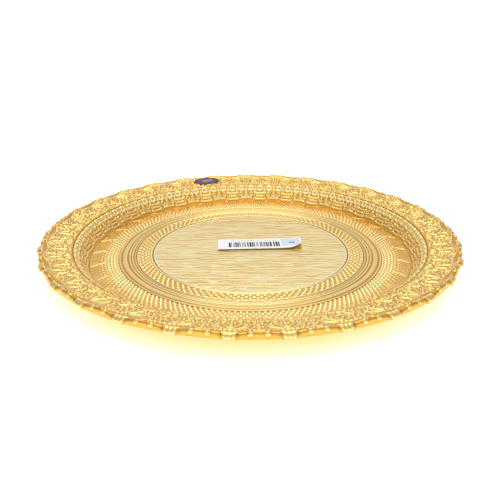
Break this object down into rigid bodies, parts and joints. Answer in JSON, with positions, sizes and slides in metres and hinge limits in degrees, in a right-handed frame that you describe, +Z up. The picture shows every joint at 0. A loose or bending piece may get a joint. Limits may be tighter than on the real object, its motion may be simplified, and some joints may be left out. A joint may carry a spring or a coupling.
{
  "type": "serving tray",
  "caption": "Round pressed brass tray with a sunk well, a sloping wall and a broad scalloped rim, with a paper label in the well and an oval seal on the rim.",
  "frame": {"origin": "centre of the tray's flat underside, on the surface it stands on", "axes": "+Z up through the middle of the tray; +X to the right and -Y towards the viewer, with the label read from -Y"},
  "size_m": [0.3298, 0.3292, 0.0178],
  "materials": {
    "brass": "bright pressed sheet with a fine raised relief, deeper amber in the recesses",
    "label_paper": "smooth white paper with plain printed bars",
    "seal_foil": "dark violet satin foil"
  },
  "bodies": {
    "root": {"pressed_tray": "brass", "barcode_label": "label_paper", "oval_seal": "seal_foil"}
  },
  "joints": []
}
